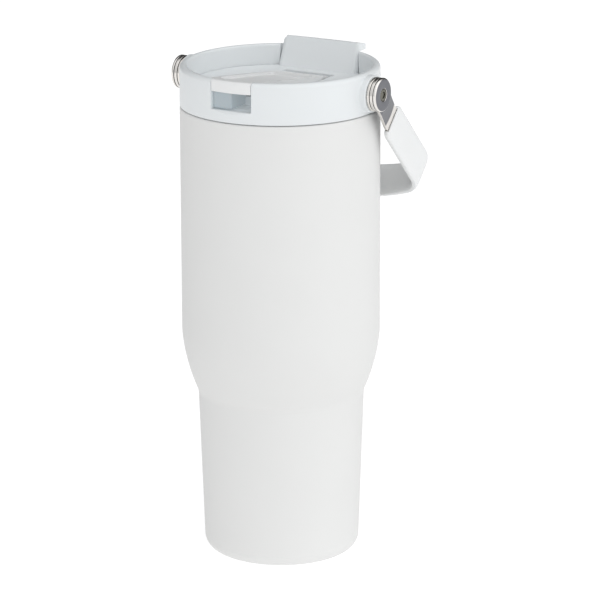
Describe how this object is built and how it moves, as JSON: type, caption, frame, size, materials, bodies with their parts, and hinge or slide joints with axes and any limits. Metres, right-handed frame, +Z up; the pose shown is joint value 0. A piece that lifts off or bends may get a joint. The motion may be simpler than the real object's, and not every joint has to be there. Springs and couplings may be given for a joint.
{
  "type": "insulated tumbler with lid",
  "caption": "Double-wall steel tumbler that narrows to a cup-holder base, with a screw lid, a flip-down drinking lever and a swinging carry handle.",
  "frame": {"origin": "centre of the base, on its resting face", "axes": "+Z up the body; X along the handle's pivots; -Y towards the finger notch and lever nose; +Y towards the backrest, where the handle rests"},
  "size_m": [0.105, 0.1075, 0.2308],
  "materials": {
    "powder_coat": "fine matte powder coat, warm white",
    "bare_steel": "brushed, electropolished inside",
    "getter_metal": "sintered grey",
    "lid_plastic": "satin polypropylene, cool white",
    "lever_plastic": "satin polypropylene, cool white",
    "grip_plastic": "satin overmould, white",
    "white_silicone": "soft matte silicone",
    "grey_silicone": "soft matte silicone",
    "straw_plastic": "translucent",
    "strap_steel": "satin, brushed along its length",
    "polished_steel": "polished, rounded rim",
    "cap_steel": "satin face, polished rim",
    "screw_steel": "machined",
    "brass": "turned"
  },
  "bodies": {
    "tumbler": {"outer_shell": "powder_coat", "inner_liner": "bare_steel", "base_plate": "bare_steel", "getter_pellet": "getter_metal"},
    "lid_seal": {"lid_gasket": "grey_silicone"},
    "lid": {"lid_body": "lid_plastic", "lid_deck": "lid_plastic", "vent_valve": "grey_silicone", "barrel_seal": "grey_silicone", "straw_socket": "lid_plastic", "straw": "straw_plastic", "hinge_pin_left": "screw_steel", "hinge_pin_right": "screw_steel", "pivot_bush_left": "brass", "pivot_bush_right": "brass", "pivot_screw_left": "screw_steel", "pivot_screw_right": "screw_steel", "inner_washer_left": "polished_steel", "inner_washer_right": "polished_steel", "pivot_cap_left": "cap_steel", "pivot_cap_right": "cap_steel"},
    "handle": {"handle_grip": "grip_plastic", "strap_left": "strap_steel", "strap_right": "strap_steel"},
    "flip_straw": {"flip_lever": "lever_plastic", "mouthpiece": "white_silicone"}
  },
  "joints": [
    {"name": "lid_lift", "type": "slide", "parent": "tumbler", "child": "lid_seal", "axis": [0, 0, 1], "range_m": [0, 0.21]},
    {"name": "lid_turn", "type": "hinge", "parent": "lid_seal", "child": "lid", "pos_m": [0, 0, 0.1975], "axis": [0, 0, 1], "range_deg": [0, 360]},
    {"name": "handle_swing", "type": "hinge", "parent": "lid", "child": "handle", "pos_m": [0, 0, 0.2178], "axis": [1, 0, 0], "range_deg": [0, 270]},
    {"name": "straw_flip", "type": "hinge", "parent": "lid", "child": "flip_straw", "pos_m": [0, 0.019, 0.213], "axis": [-1, 0, 0], "range_deg": [0, 92]}
  ]
}
